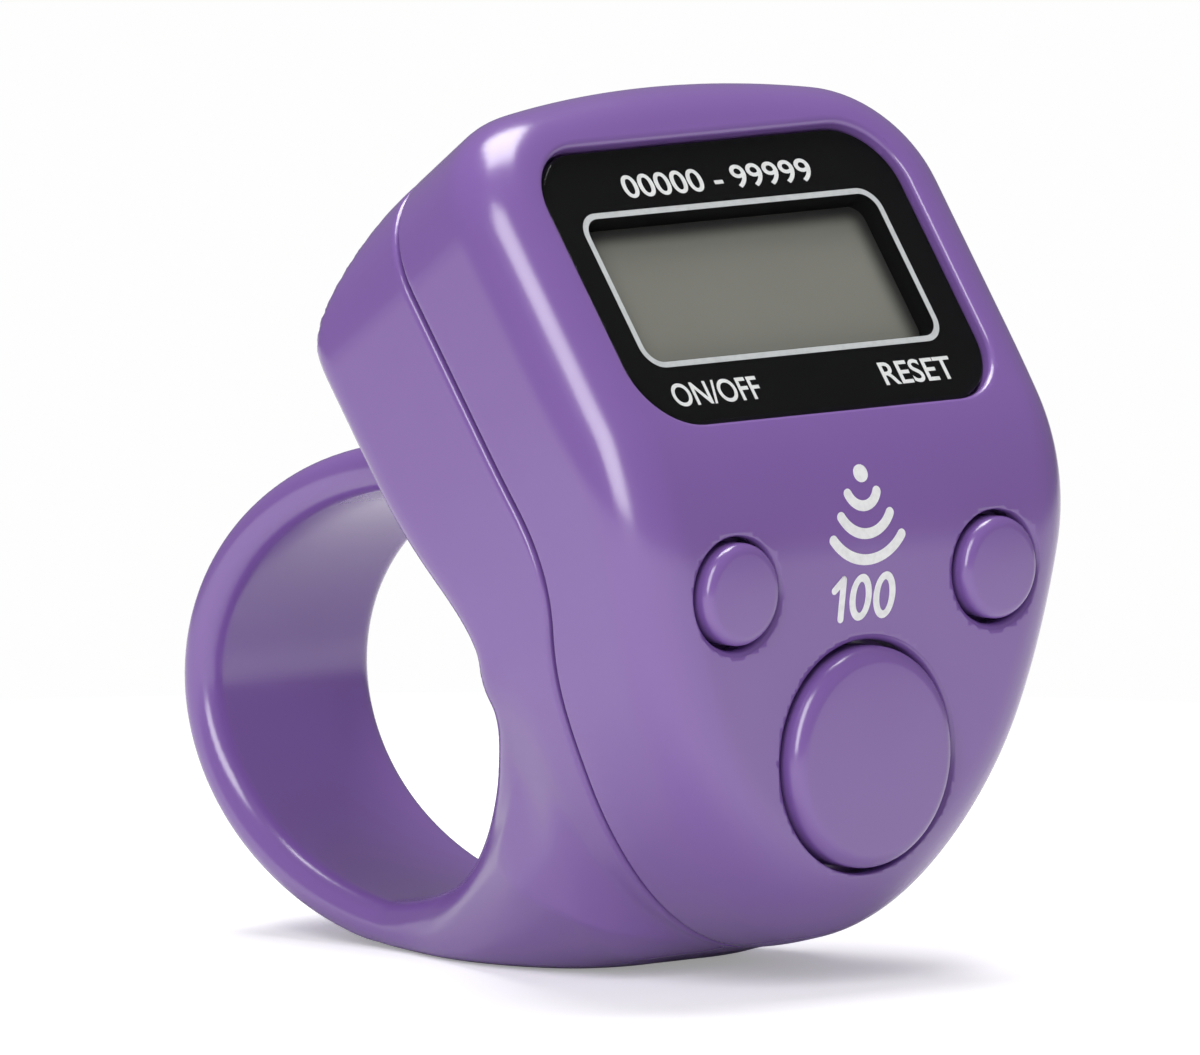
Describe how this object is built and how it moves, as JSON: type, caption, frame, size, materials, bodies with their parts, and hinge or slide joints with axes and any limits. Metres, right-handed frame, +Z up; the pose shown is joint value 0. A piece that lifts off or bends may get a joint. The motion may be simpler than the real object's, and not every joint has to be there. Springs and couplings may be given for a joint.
{
  "type": "tally counter",
  "caption": "Ring-worn electronic tally counter: sloping display head, rounded key face with a large count key and small keys, finger ring behind.",
  "frame": {"origin": "on the ground under the foot, at the middle of the whole counter across and front to back", "axes": "+X across the counter to the right as the keys are faced, -Y towards the person who faces the keys, +Z up"},
  "size_m": [0.03, 0.0416, 0.0411],
  "materials": {
    "purple_shell": "satin moulded violet plastic",
    "purple_key": "satin moulded violet plastic",
    "clear_lens": "clear polished plastic window",
    "black_film": "black printed film",
    "tape": "double-sided adhesive frame",
    "polariser": "grey-green polarising film",
    "lcd_glass": "liquid crystal glass",
    "reflector": "rear reflector film",
    "white_plastic": "white moulded plastic",
    "ribbon": "heat-sealed ribbon",
    "board": "green solder mask",
    "epoxy": "black epoxy blob",
    "ceramic_tan": "ceramic capacitor",
    "ceramic_black": "chip resistor",
    "brass": "brass disc",
    "piezo": "piezo ceramic",
    "red_wire": "red insulation",
    "black_wire": "black insulation",
    "cell_steel": "nickel-plated can",
    "spring_steel": "plated spring strip",
    "silicone": "pale silicone rubber",
    "carbon": "carbon-filled rubber",
    "screw_steel": "zinc-plated steel"
  },
  "bodies": {
    "casing": {"front_shell": "purple_shell", "rear_shell": "purple_shell", "display_lens": "clear_lens", "display_film": "black_film", "lens_tape": "tape", "lcd_polariser": "polariser", "lcd_cell": "lcd_glass", "lcd_reflector": "reflector", "lcd_holder": "white_plastic", "lcd_ribbon": "ribbon", "circuit_board": "board", "chip_blob": "epoxy", "smd_capacitor": "ceramic_tan", "smd_resistor": "ceramic_black", "power_dome": "silicone", "power_pill": "carbon", "reset_dome": "silicone", "reset_pill": "carbon", "count_dome": "silicone", "count_pill": "carbon", "battery_cell": "cell_steel", "battery_contact_negative": "spring_steel", "battery_contact_positive": "spring_steel", "battery_door": "purple_shell", "door_screw": "screw_steel", "shell_screw_left": "screw_steel", "shell_screw_right": "screw_steel", "board_screw_left": "screw_steel", "board_screw_right": "screw_steel", "buzzer_disc": "brass", "buzzer_ceramic": "piezo", "buzzer_lead_red": "red_wire", "buzzer_lead_black": "black_wire"},
    "count": {"count_button": "purple_key"},
    "reset": {"reset_button": "purple_key"},
    "power": {"power_button": "purple_key"}
  },
  "joints": [
    {"name": "count_press", "type": "slide", "parent": "casing", "child": "count", "axis": [0, 1, 0], "range_m": [0, 0.0005], "stiffness_N_per_m": 800, "deforming": ["count_dome"]},
    {"name": "reset_press", "type": "slide", "parent": "casing", "child": "reset", "axis": [0, 1, 0], "range_m": [0, 0.0005], "stiffness_N_per_m": 800, "deforming": ["reset_dome"]},
    {"name": "power_press", "type": "slide", "parent": "casing", "child": "power", "axis": [0, 1, 0], "range_m": [0, 0.0005], "stiffness_N_per_m": 800, "deforming": ["power_dome"]}
  ]
}
